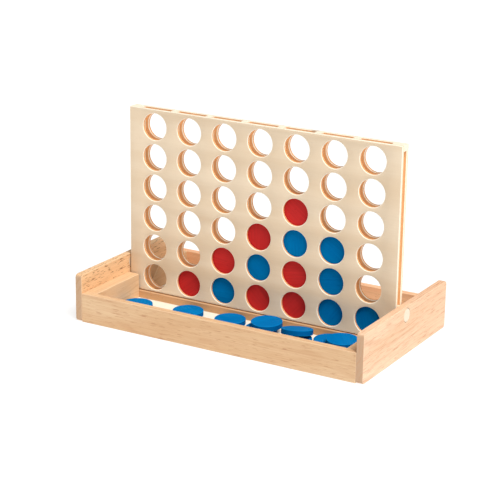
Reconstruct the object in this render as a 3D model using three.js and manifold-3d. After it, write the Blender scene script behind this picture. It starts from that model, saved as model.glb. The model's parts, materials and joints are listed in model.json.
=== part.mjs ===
// A wooden four-in-a-row game: an upright board of slots that turns and rises on two pegs in a shallow tray.
// Millimetres, +Z up, +X to the right and +Y to the back. The origin is on the table, under the middle of the
// board, which is also the middle of the tray.

import * as THREE from 'three';
import Module from 'manifold-3d';
import { mergeVertices } from 'three/addons/utils/BufferGeometryUtils.js';

const wasm = await Module();
wasm.setup();

// --- Driving dimensions -------------------------------------------------------------------------------------

// Discs and the grid that holds them
const DISC_DIAMETER = 29.6;
const DISC_THICKNESS = 5;
const COLUMNS = 7;
const ROWS = 6;
const COLUMN_PITCH = 38.4;
const ROW_PITCH = 30;
const HOLE_DIAMETER = 26;

// Board: two panels held apart by strips that divide the columns
const PANEL_THICKNESS = 3;
const BOARD_GAP = 6;
const BOARD_WIDTH = 287;
const BOARD_BOTTOM = 12.3;
const BOARD_TOP = 194.3;
const BOTTOM_ROW_HEIGHT = 27.5;
const STRIP_WIDTH = 6.4;
const GROOVE_DEPTH = 4;
const GROOVE_TOP_STOP = 5.8;
const GROOVE_BOTTOM_STOP = 2.5;

// Tray
const TRAY_DEPTH = 173;
const CHEEK_INNER_X = 145;
const CHEEK_THICKNESS = 7;
const CHEEK_HEIGHT = 46.5;
const CHEEK_CORNER_RADIUS = 3.5;
const WALL_THICKNESS = 7;
const WALL_HEIGHT = 28.5;
const FLOOR_THICKNESS = 4;
const BEAM_WIDTH = 16;
const BEAM_TOP = 11.5;
const RAIL_WIDTH = 12.5;
const REAR_RAIL_NOSE = 3.5;
const REAR_RAIL_SLOPE = 21;

// Pegs that carry the board
const PEG_AXIS_HEIGHT = 38;
const PEG_DIAMETER = 12.6;
const PEG_BORE_DIAMETER = 13.4;
const TONGUE_THICKNESS = 5.4;
const TONGUE_LENGTH = 14.4;
const FIT_GAP = 0.3;

// Smoothness of round shapes: sides to a full turn, and to one round corner
const HOLE_SIDES = 24;
const DISC_SIDES = 32;
const PEG_SIDES = 32;
const CORNER_SIDES = 4;

// --- Sizes that follow from them ----------------------------------------------------------------------------

const boardHeight = BOARD_TOP - BOARD_BOTTOM;
const boardMiddle = (BOARD_TOP + BOARD_BOTTOM) / 2;
const panelOffset = (BOARD_GAP + PANEL_THICKNESS) / 2;
const wallOffset = (TRAY_DEPTH - WALL_THICKNESS) / 2;
const innerDepth = TRAY_DEPTH - 2 * WALL_THICKNESS;
const railHeight = WALL_HEIGHT - FLOOR_THICKNESS;

const columnX = (column) => (column - (COLUMNS - 1) / 2) * COLUMN_PITCH;
const rowHeight = (row) => BOTTOM_ROW_HEIGHT + row * ROW_PITCH;

// --- Materials ----------------------------------------------------------------------------------------------

const wood = (color, roughness) => new THREE.MeshStandardMaterial({ color, roughness, metalness: 0 });

const materials = {
  beech: wood(0xe3bc90, 0.55),
  plywood: wood(0xe6d0ae, 0.6),
  stripWood: wood(0xecd3a6, 0.6),
  floorPly: wood(0xf0dcb8, 0.6),
  dowel: wood(0xf0dcc0, 0.6),
  red: wood(0xb4282a, 0.45),
  blue: wood(0x0a64a0, 0.45),
};

// --- Geometry helpers ---------------------------------------------------------------------------------------

function place(name, geometry, material, x = 0, y = 0, z = 0) {
  const mesh = new THREE.Mesh(geometry, material);
  mesh.name = name;
  mesh.position.set(x, y, z);
  return mesh;
}

function block(name, width, depth, height, material, x, y, z) {
  return place(name, new THREE.BoxGeometry(width, depth, height), material, x, y, z);
}

function toManifold(geometry) {
  const bare = geometry.clone();
  bare.deleteAttribute('normal');
  bare.deleteAttribute('uv');
  const merged = mergeVertices(bare);
  return new wasm.Manifold(new wasm.Mesh({
    numProp: 3,
    vertProperties: new Float32Array(merged.attributes.position.array),
    triVerts: new Uint32Array(merged.index.array),
  }));
}

function fromManifold(solid) {
  const mesh = solid.getMesh();
  const geometry = new THREE.BufferGeometry();
  geometry.setAttribute('position', new THREE.BufferAttribute(mesh.vertProperties, 3));
  geometry.setIndex(new THREE.BufferAttribute(mesh.triVerts, 1));
  geometry.computeVertexNormals();
  return geometry;
}

// A path that runs once round the corners of an outline, given as [x, y] pairs.
function outline(points) {
  return new THREE.Shape(points.map(([x, y]) => new THREE.Vector2(x, y)));
}

function roundHole(x, y, diameter) {
  const hole = new THREE.Path();
  hole.absarc(x, y, diameter / 2, 0, 2 * Math.PI, true);
  return hole;
}

// Extrudes a shape drawn in X and Z towards the back, centred on the plane y = 0. An arc of the shape gets twice
// as many sides as curveSegments says.
function extrudeAlongDepth(shape, depth, curveSegments = 1) {
  const geometry = new THREE.ExtrudeGeometry(shape, { depth, bevelEnabled: false, curveSegments });
  geometry.rotateX(Math.PI / 2);
  geometry.translate(0, depth / 2, 0);
  return geometry;
}

// Extrudes a shape drawn in Y and Z to the right of the plane x = 0.
function extrudeAlongWidth(shape, width, curveSegments = 1) {
  const geometry = new THREE.ExtrudeGeometry(shape, { depth: width, bevelEnabled: false, curveSegments });
  geometry.rotateX(Math.PI / 2);
  geometry.rotateZ(Math.PI / 2);
  return geometry;
}

// --- Tray ---------------------------------------------------------------------------------------------------

// A cheek has round corners and the bore for its peg.
function cheekGeometry() {
  const half = TRAY_DEPTH / 2;
  const r = CHEEK_CORNER_RADIUS;
  const side = new THREE.Shape();
  side.absarc(half - r, r, r, -Math.PI / 2, 0);
  side.absarc(half - r, CHEEK_HEIGHT - r, r, 0, Math.PI / 2);
  side.absarc(-half + r, CHEEK_HEIGHT - r, r, Math.PI / 2, Math.PI);
  side.absarc(-half + r, r, r, Math.PI, 1.5 * Math.PI);
  const blank = extrudeAlongWidth(side, CHEEK_THICKNESS, CORNER_SIDES / 2);
  const drill = new THREE.CylinderGeometry(
    PEG_BORE_DIAMETER / 2, PEG_BORE_DIAMETER / 2, 2 * CHEEK_THICKNESS, PEG_SIDES,
  );
  drill.rotateZ(Math.PI / 2);
  drill.translate(CHEEK_THICKNESS / 2, 0, PEG_AXIS_HEIGHT);
  return fromManifold(toManifold(blank).subtract(toManifold(drill)));
}

// A rear rail slopes down to a low nose under the board, so the board's foot can swing over it.
function rearRailGeometry() {
  const start = BEAM_WIDTH / 2;
  const end = innerDepth / 2;
  const profile = outline([
    [start, FLOOR_THICKNESS], [end, FLOOR_THICKNESS], [end, WALL_HEIGHT],
    [start + REAR_RAIL_SLOPE, WALL_HEIGHT], [start, FLOOR_THICKNESS + REAR_RAIL_NOSE],
  ]);
  return extrudeAlongWidth(profile, RAIL_WIDTH);
}

function makeTray() {
  const tray = new THREE.Group();
  const cheek = cheekGeometry();
  tray.add(place('left_cheek', cheek, materials.beech, -CHEEK_INNER_X - CHEEK_THICKNESS));
  tray.add(place('right_cheek', cheek, materials.beech, CHEEK_INNER_X));

  for (const [name, side] of [['front_wall', -1], ['back_wall', 1]]) {
    tray.add(block(name, 2 * CHEEK_INNER_X, WALL_THICKNESS, WALL_HEIGHT, materials.beech,
      0, side * wallOffset, WALL_HEIGHT / 2));
  }

  tray.add(block('floor_panel', 2 * CHEEK_INNER_X, innerDepth, FLOOR_THICKNESS, materials.floorPly,
    0, 0, FLOOR_THICKNESS / 2));
  tray.add(block('centre_beam', 2 * CHEEK_INNER_X, BEAM_WIDTH, BEAM_TOP - FLOOR_THICKNESS, materials.beech,
    0, 0, (BEAM_TOP + FLOOR_THICKNESS) / 2));

  // The front rails end against the board and hold its foot.
  const frontRun = (innerDepth - BEAM_WIDTH) / 2;
  const frontMiddle = -(innerDepth + BEAM_WIDTH) / 4;
  const rearRail = rearRailGeometry();
  for (const [hand, inner] of [['left', -CHEEK_INNER_X], ['right', CHEEK_INNER_X - RAIL_WIDTH]]) {
    tray.add(block(`front_rail_${hand}`, RAIL_WIDTH, frontRun, railHeight, materials.beech,
      inner + RAIL_WIDTH / 2, frontMiddle, FLOOR_THICKNESS + railHeight / 2));
    tray.add(place(`rear_rail_${hand}`, rearRail, materials.beech, inner));
  }
  return tray;
}

// --- Pegs ---------------------------------------------------------------------------------------------------

// A peg is a round shank that turns in its cheek, with a flat tongue that runs in the groove down the board's
// side. The tongue is longer than the bore is wide, so the peg can't pull out. This one is the right-hand peg.
function pegGeometry() {
  const tongueInner = BOARD_WIDTH / 2 - GROOVE_DEPTH + FIT_GAP;
  const tongueOuter = CHEEK_INNER_X - FIT_GAP;
  const shankInner = tongueOuter - FIT_GAP;
  const shankOuter = CHEEK_INNER_X + CHEEK_THICKNESS - FIT_GAP / 2;

  const shank = new THREE.CylinderGeometry(
    PEG_DIAMETER / 2, PEG_DIAMETER / 2, shankOuter - shankInner, PEG_SIDES,
  );
  shank.rotateZ(Math.PI / 2);
  shank.translate((shankInner + shankOuter) / 2, 0, 0);
  const tongue = new THREE.BoxGeometry(tongueOuter - tongueInner, TONGUE_THICKNESS, TONGUE_LENGTH);
  tongue.translate((tongueInner + tongueOuter) / 2, 0, 0);
  return fromManifold(toManifold(shank).add(toManifold(tongue)));
}

function makePegs() {
  const pegs = new THREE.Group();
  pegs.position.z = PEG_AXIS_HEIGHT;
  const geometry = pegGeometry();
  pegs.add(place('right_peg', geometry, materials.dowel));
  const leftPeg = place('left_peg', geometry, materials.dowel);
  leftPeg.rotation.z = Math.PI;
  pegs.add(leftPeg);
  return pegs;
}

// --- Board --------------------------------------------------------------------------------------------------

function panelGeometry() {
  const half = BOARD_WIDTH / 2;
  const sheet = outline([
    [-half, BOARD_BOTTOM], [half, BOARD_BOTTOM], [half, BOARD_TOP], [-half, BOARD_TOP],
  ]);
  for (let row = 0; row < ROWS; row += 1) {
    for (let column = 0; column < COLUMNS; column += 1) {
      sheet.holes.push(roundHole(columnX(column), rowHeight(row), HOLE_DIAMETER));
    }
  }
  return extrudeAlongDepth(sheet, PANEL_THICKNESS, HOLE_SIDES / 2);
}

// The right-hand edge strip: a plain strip with a stop at each end that closes the groove the peg runs in.
function edgeStripGeometry() {
  const inner = columnX(COLUMNS - 1) + (COLUMN_PITCH - STRIP_WIDTH) / 2;
  const outer = BOARD_WIDTH / 2;
  const grooveFloor = outer - GROOVE_DEPTH;
  const grooveTop = BOARD_TOP - GROOVE_TOP_STOP;
  const grooveBottom = BOARD_BOTTOM + GROOVE_BOTTOM_STOP;
  const profile = outline([
    [inner, BOARD_BOTTOM], [outer, BOARD_BOTTOM], [outer, grooveBottom], [grooveFloor, grooveBottom],
    [grooveFloor, grooveTop], [outer, grooveTop], [outer, BOARD_TOP], [inner, BOARD_TOP],
  ]);
  return extrudeAlongDepth(profile, BOARD_GAP);
}

function makeBoard() {
  const board = new THREE.Group();
  const panel = panelGeometry();
  board.add(place('front_panel', panel, materials.plywood, 0, -panelOffset));
  board.add(place('rear_panel', panel, materials.plywood, 0, panelOffset));

  for (let divider = 1; divider < COLUMNS; divider += 1) {
    const x = columnX(divider) - COLUMN_PITCH / 2;
    board.add(block(`divider_strip_${divider}`, STRIP_WIDTH, BOARD_GAP, boardHeight, materials.stripWood,
      x, 0, boardMiddle));
  }

  const edge = edgeStripGeometry();
  board.add(place('edge_strip_right', edge, materials.stripWood));
  const leftEdge = place('edge_strip_left', edge, materials.stripWood);
  leftEdge.rotation.z = Math.PI;
  board.add(leftEdge);
  return board;
}

// --- Discs --------------------------------------------------------------------------------------------------

// Discs in the board, column by column from the left, each column read upwards from its bottom row.
const COLUMN_STACKS = [
  [], ['red'], ['blue', 'red'], ['red', 'blue', 'red'], ['red', 'red', 'blue', 'red'], ['blue', 'blue', 'blue'],
  ['blue'],
];

// Blue discs that lie in the front of the tray: the middle of each, the height of its lowest edge over the
// floor, and how far it tilts, in degrees, towards a direction in the plan, in degrees from +X.
const FLOOR_REST = 0.3;
const SECOND_LAYER = 5.6;
const LOOSE_DISCS = [
  { x: -116.3, y: -35.5, rest: FLOOR_REST, tilt: 0, downhill: 0 },
  { x: -64.5, y: -26, rest: FLOOR_REST, tilt: 0, downhill: 0 },
  { x: -18.6, y: -24.6, rest: FLOOR_REST, tilt: 0, downhill: 0 },
  { x: 18, y: -29, rest: FLOOR_REST, tilt: 0, downhill: 0 },
  { x: 22, y: -26.2, rest: SECOND_LAYER, tilt: 2, downhill: -100 },
  { x: 58.4, y: -36, rest: FLOOR_REST, tilt: 0, downhill: 0 },
  { x: 58.7, y: -34.5, rest: SECOND_LAYER, tilt: 11.6, downhill: 110 },
  { x: 86.6, y: -23.4, rest: FLOOR_REST, tilt: 0, downhill: 0 },
  { x: 102.6, y: -29.2, rest: SECOND_LAYER, tilt: 1, downhill: -60 },
];

function discGeometry() {
  return new THREE.CylinderGeometry(DISC_DIAMETER / 2, DISC_DIAMETER / 2, DISC_THICKNESS, DISC_SIDES);
}

function makeDiscs() {
  const discs = new THREE.Group();

  // A cylinder already lies along Y, as a disc in a slot does.
  const standing = discGeometry();
  COLUMN_STACKS.forEach((stack, column) => {
    stack.forEach((colour, row) => {
      discs.add(place(`${colour}_disc_column${column + 1}_row${row + 1}`, standing, materials[colour],
        columnX(column), 0, rowHeight(row)));
    });
  });

  const lying = discGeometry();
  lying.rotateX(Math.PI / 2);
  LOOSE_DISCS.forEach(({ x, y, rest, tilt, downhill }, index) => {
    const slope = THREE.MathUtils.degToRad(tilt);
    const heading = THREE.MathUtils.degToRad(downhill);
    const lowestEdge = (DISC_DIAMETER * Math.sin(slope) + DISC_THICKNESS * Math.cos(slope)) / 2;
    const disc = place(`blue_disc_loose_${index + 1}`, lying, materials.blue,
      x, y, FLOOR_THICKNESS + rest + lowestEdge);
    const hingeLine = new THREE.Vector3(-Math.sin(heading), Math.cos(heading), 0);
    disc.quaternion.setFromAxisAngle(hingeLine, slope);
    discs.add(disc);
  });
  return discs;
}

// --- The whole game -----------------------------------------------------------------------------------------

const game = new THREE.Group();
game.add(makeTray(), makePegs(), makeBoard(), makeDiscs());

export default game;
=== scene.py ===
"""A wooden four-in-a-row game: a slotted board on two pegs in a shallow tray, with red and blue discs.

Each sub-assembly is a class that takes its places from the frame, makes its own meshes and dresses them in
their wood. All lengths are in metres, +X runs to the right along the tray, +Y to the back, and +Z up.
"""

import json
import logging
import math
from dataclasses import dataclass, field
from enum import Enum
from typing import Callable, Iterable, Sequence

import bmesh
import bpy
from mathutils import Matrix, Vector
from mathutils.geometry import tessellate_polygon

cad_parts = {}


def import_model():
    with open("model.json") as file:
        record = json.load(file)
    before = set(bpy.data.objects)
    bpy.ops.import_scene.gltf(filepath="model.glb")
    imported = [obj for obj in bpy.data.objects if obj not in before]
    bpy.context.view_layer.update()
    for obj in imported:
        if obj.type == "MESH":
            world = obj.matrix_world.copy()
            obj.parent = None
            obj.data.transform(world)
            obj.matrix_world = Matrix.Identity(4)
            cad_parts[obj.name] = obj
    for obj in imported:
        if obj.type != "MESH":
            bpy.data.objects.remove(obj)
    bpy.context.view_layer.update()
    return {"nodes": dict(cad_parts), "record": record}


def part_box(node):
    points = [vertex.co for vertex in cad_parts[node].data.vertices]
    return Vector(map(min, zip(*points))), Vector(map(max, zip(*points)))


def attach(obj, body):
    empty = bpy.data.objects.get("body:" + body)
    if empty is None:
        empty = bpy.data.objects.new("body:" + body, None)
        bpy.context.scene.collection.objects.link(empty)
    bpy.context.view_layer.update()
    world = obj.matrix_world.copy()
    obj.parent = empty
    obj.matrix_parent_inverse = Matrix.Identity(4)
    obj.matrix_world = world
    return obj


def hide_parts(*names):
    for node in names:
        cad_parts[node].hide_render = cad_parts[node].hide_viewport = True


LOG = logging.getLogger("four_in_a_row")

MM = 0.001

# Names of the values that the meshes carry for their finishes
CUT = "cut_face"
# Faces of the round arris, which take the arris colour: on most pieces a painted highlight
EASED = "eased_edge"
# Faces where shade is painted: a cheek's bore, and the panels' hole walls and slot faces
PAINTED_SHADE = "painted_shade"
GRAIN = "grain_place"

# How fast each layer of the grain changes along the wood and across it, in features to a metre
FIGURE_SCALE = (5, 38, 38)
WANDER_SCALE = (7, 26, 26)
PATCH_SCALE = (14, 90, 90)
FIBRE_SCALE = (34, 1500, 1500)
FLECK_SCALE = 1350.0
# How large the patches are that break up the painted highlight on the arris
HIGHLIGHT_PATCH_SCALE = (160, 160, 160)
CLOUD_SCALE = (45, 45, 45)

# A face counts as square to an axis when this share of its normal lies along it
SQUARE = 0.999

PEG_AXIS_HEIGHT = 38 * MM

Colour = tuple[float, float, float]
Point = tuple[float, float, float]
Box = tuple[Vector, Vector]
Value = object


def tint(red: int, green: int, blue: int) -> Colour:
    """A colour given as 0 to 255 on a colour card, as the linear light that a shader takes.

    Args:
        red: Share of red.
        green: Share of green.
        blue: Share of blue.

    Returns:
        The three linear values.
    """

    def linear(part: int) -> float:
        """One share of the colour, from 0 to 255, in linear light."""
        share = part / 255
        return share / 12.92 if share <= 0.04045 else ((share + 0.055) / 1.055) ** 2.4

    return linear(red), linear(green), linear(blue)


class Axis(Enum):
    """The way the grain of a board runs."""

    ACROSS = 0
    BACK = 1
    UP = 2

    def vector(self) -> Vector:
        """The unit vector along this axis."""
        return Vector([1.0 if i == self.value else 0.0 for i in range(3)])

    def turn(self) -> Point:
        """The turn, in radians, that lays this axis along X for a wood pattern."""
        return {0: (0.0, 0.0, 0.0), 1: (0.0, 0.0, -math.pi / 2), 2: (0.0, math.pi / 2, 0.0)}[self.value]


class Place(Enum):
    """Where a finish reads the place of its grain."""

    OBJECT = "object"
    PIECE = "piece"


class DiscColour(Enum):
    """The two sides of the game."""

    RED = "red"
    BLUE = "blue"


# --- Shader helpers ---------------------------------------------------------------------------------------


class Graph:
    """A node tree with short ways to add and join nodes."""

    def __init__(self, tree: bpy.types.NodeTree) -> None:
        """Keeps the tree that nodes are added to."""
        self.tree = tree

    def add(self, kind: str, inputs: dict[str, Value] | None = None, **settings: Value) -> bpy.types.Node:
        """Adds a node.

        Args:
            kind: The node's type.
            inputs: Values or sockets for its inputs, by name.
            settings: The node's own settings.

        Returns:
            The new node.
        """
        node = self.tree.nodes.new(kind)
        for name, value in settings.items():
            setattr(node, name, value)
        for name, value in (inputs or {}).items():
            self.put(node.inputs[name], value)
        return node

    def put(self, socket: bpy.types.NodeSocket, value: Value) -> None:
        """Joins an input to a socket, or gives it a plain value.

        Args:
            socket: The input.
            value: An output socket, a number or a colour.
        """
        if isinstance(value, bpy.types.NodeSocket):
            self.tree.links.new(value, socket)
        elif socket.type == "RGBA" and len(value) == 3:
            socket.default_value = (*value, 1.0)
        else:
            socket.default_value = value

    def math(self, kind: str, first: Value, second: Value = 0.0) -> bpy.types.NodeSocket:
        """The result of one sum.

        Args:
            kind: The operation.
            first: Its first value.
            second: Its second value.

        Returns:
            The result's socket.
        """
        node = self.tree.nodes.new("ShaderNodeMath")
        node.operation = kind
        self.put(node.inputs[0], first)
        self.put(node.inputs[1], second)
        return node.outputs[0]

    def mix(self, share: Value, first: Value, second: Value, blend: str = "MIX") -> bpy.types.NodeSocket:
        """Mixes two colours.

        Args:
            share: How much of the second one shows.
            first: The colour underneath.
            second: The colour on top.
            blend: How they are mixed.

        Returns:
            The mixed colour's socket.
        """
        node = self.tree.nodes.new("ShaderNodeMix")
        node.data_type = "RGBA"
        node.blend_type = blend
        self.put(node.inputs[0], share)
        self.put(node.inputs[6], first)
        self.put(node.inputs[7], second)
        return node.outputs[2]

    def stretch(self, vector: Value, factors: Sequence[float]) -> bpy.types.NodeSocket:
        """A place multiplied along each axis.

        Args:
            vector: The place.
            factors: The three factors.

        Returns:
            The stretched place's socket.
        """
        node = self.tree.nodes.new("ShaderNodeVectorMath")
        node.operation = "MULTIPLY"
        self.put(node.inputs[0], vector)
        self.put(node.inputs[1], tuple(factors))
        return node.outputs[0]

    def noise(self, vector: Value, detail: float = 2.0, rough: float = 0.5,
              warp: float = 0.0) -> bpy.types.NodeSocket:
        """Soft noise from 0 to 1, one feature to a unit.

        Args:
            vector: The place to read it at.
            detail: How many finer layers it has.
            rough: How strong those are.
            warp: How far they are bent.

        Returns:
            The noise's socket.
        """
        sizes = {"Vector": vector, "Scale": 1.0, "Detail": detail, "Roughness": rough, "Distortion": warp}
        return self.add("ShaderNodeTexNoise", sizes).outputs[0]

    def window(self, value: Value, low: Value, high: Value) -> bpy.types.NodeSocket:
        """Rises smoothly from 0 at low to 1 at high.

        Args:
            value: What is read.
            low: Where the rise starts.
            high: Where it ends.

        Returns:
            The result's socket.
        """
        node = self.add("ShaderNodeMapRange", interpolation_type="SMOOTHSTEP")
        for name, given in (("Value", value), ("From Min", low), ("From Max", high)):
            self.put(node.inputs[name], given)
        return node.outputs[0]


def new_group(name: str, takes: dict[str, float | None],
              gives: Iterable[str]) -> tuple[Graph, bpy.types.Node, bpy.types.Node]:
    """An empty shader group with its sockets.

    Args:
        name: The group's name.
        takes: Its inputs with their usual values, None for a vector.
        gives: The names of the values that it puts out.

    Returns:
        The group's graph, its input node and its output node.
    """
    tree = bpy.data.node_groups.new(name, "ShaderNodeTree")
    for socket, usual in takes.items():
        kind = "NodeSocketVector" if usual is None else "NodeSocketFloat"
        made = tree.interface.new_socket(name=socket, in_out="INPUT", socket_type=kind)
        if usual is not None:
            made.default_value = usual
    for socket in gives:
        tree.interface.new_socket(name=socket, in_out="OUTPUT", socket_type="NodeSocketFloat")
    graph = Graph(tree)
    return graph, graph.add("NodeGroupInput"), graph.add("NodeGroupOutput")


def timber_grain_group() -> bpy.types.NodeTree:
    """The grain of sawn wood: broad figure, growth lines, fibres and dark ray flecks.

    It is read with X along the grain.

    Returns:
        The group, made once.
    """
    name = "timber_grain"
    if name in bpy.data.node_groups:
        return bpy.data.node_groups[name]
    takes = {"Vector": None, "Line Pitch": 0.005, "Fleck Length": 0.003, "Fleck Cover": 0.3}
    graph, given, result = new_group(name, takes, ("Figure", "Lines", "Fibre", "Flecks", "Height"))
    place = given.outputs["Vector"]

    figure = graph.window(graph.noise(graph.stretch(place, FIGURE_SCALE), 3, 0.55, 0.4), 0.28, 0.72)

    # Growth lines wander a little from side to side as they run along the board.
    wander = graph.noise(graph.stretch(place, WANDER_SCALE), 2, 0.5)
    split = graph.add("ShaderNodeSeparateXYZ", {"Vector": place})
    depth = graph.math("ADD", split.outputs["Y"], graph.math("MULTIPLY", split.outputs["Z"], 0.45))
    drift = graph.math("MULTIPLY", graph.math("SUBTRACT", wander, 0.5), 0.022)
    turns = graph.math("DIVIDE", graph.math("ADD", depth, drift), given.outputs["Line Pitch"])
    wave = graph.math("SINE", graph.math("MULTIPLY", turns, 2 * math.pi))
    patchy = graph.noise(graph.stretch(place, PATCH_SCALE), 2, 0.6)
    lines = graph.math("MULTIPLY", graph.window(wave, 0.1, 1.0), graph.window(patchy, 0.3, 0.75))

    fibre = graph.window(graph.noise(graph.stretch(place, FIBRE_SCALE), 3, 0.6, 0.3), 0.3, 0.75)

    along = graph.math("DIVIDE", 0.9, given.outputs["Fleck Length"])
    spread = graph.add("ShaderNodeCombineXYZ")
    graph.put(spread.inputs["X"], along)
    graph.put(spread.inputs["Y"], FLECK_SCALE)
    graph.put(spread.inputs["Z"], FLECK_SCALE)
    scaled = graph.tree.nodes.new("ShaderNodeVectorMath")
    scaled.operation = "MULTIPLY"
    graph.put(scaled.inputs[0], place)
    graph.put(scaled.inputs[1], spread.outputs[0])
    speck = graph.noise(scaled.outputs[0], 1, 0.4)
    edge = graph.math("SUBTRACT", 0.78, graph.math("MULTIPLY", given.outputs["Fleck Cover"], 0.25))
    flecks = graph.window(speck, edge, graph.math("ADD", edge, 0.05))

    height = graph.math("ADD", graph.math("MULTIPLY", fibre, 0.5), graph.math("MULTIPLY", flecks, 0.7))
    relief = graph.math("SUBTRACT", 1.0, height)
    layers = {"Figure": figure, "Lines": lines, "Fibre": fibre, "Flecks": flecks, "Height": relief}
    for socket, value in layers.items():
        graph.put(result.inputs[socket], value)
    return graph.tree


def end_grain_shade_and_highlight_group() -> bpy.types.NodeTree:
    """Where the wood was cut across, where shade is painted in bores and slots, and where a highlight is
    painted along the round arris, broken up in patches.

    Returns:
        The group, made once.
    """
    name = "worked_edges"
    if name in bpy.data.node_groups:
        return bpy.data.node_groups[name]
    graph, given, result = new_group(name, {"Vector": None, "Break Up": 0.4}, ("Cut", "Painted Shade", "Arris Highlight"))
    cut = graph.add("ShaderNodeAttribute", attribute_type="GEOMETRY", attribute_name=CUT).outputs["Fac"]
    # Where shade is painted: a cheek's bore, and the panels' hole walls and slot faces
    bored = graph.add("ShaderNodeAttribute", attribute_type="GEOMETRY", attribute_name=PAINTED_SHADE).outputs["Fac"]
    eased = graph.add("ShaderNodeAttribute", attribute_type="GEOMETRY", attribute_name=EASED).outputs["Fac"]
    # A painted highlight along the round arris, full in some patches and dimmed by Break Up in the rest
    patches = graph.noise(graph.stretch(given.outputs["Vector"], HIGHLIGHT_PATCH_SCALE), 3, 0.6)
    full_highlight_patches = graph.window(patches, 0.25, 0.7)
    dimmed_highlight = graph.math("MULTIPLY", graph.math("SUBTRACT", 1.0, full_highlight_patches), given.outputs["Break Up"])
    graph.put(result.inputs["Cut"], graph.window(cut, 0.55, 0.95))
    graph.put(result.inputs["Painted Shade"], bored)
    graph.put(result.inputs["Arris Highlight"], graph.math("MULTIPLY", eased, graph.math("SUBTRACT", 1.0, dimmed_highlight)))
    return graph.tree


def handling_group() -> bpy.types.NodeTree:
    """The faint cloudiness that hands leave on a lacquered face.

    Returns:
        The group, made once.
    """
    name = "handling"
    if name in bpy.data.node_groups:
        return bpy.data.node_groups[name]
    graph, given, result = new_group(name, {"Vector": None, "Amount": 0.5}, ("Cloud",))
    cloud = graph.noise(graph.stretch(given.outputs["Vector"], CLOUD_SCALE), 4, 0.6, 0.5)
    soft = graph.math("MULTIPLY", graph.window(cloud, 0.3, 0.7), given.outputs["Amount"])
    graph.put(result.inputs["Cloud"], soft)
    return graph.tree


# --- Finishes ---------------------------------------------------------------------------------------------


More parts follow.
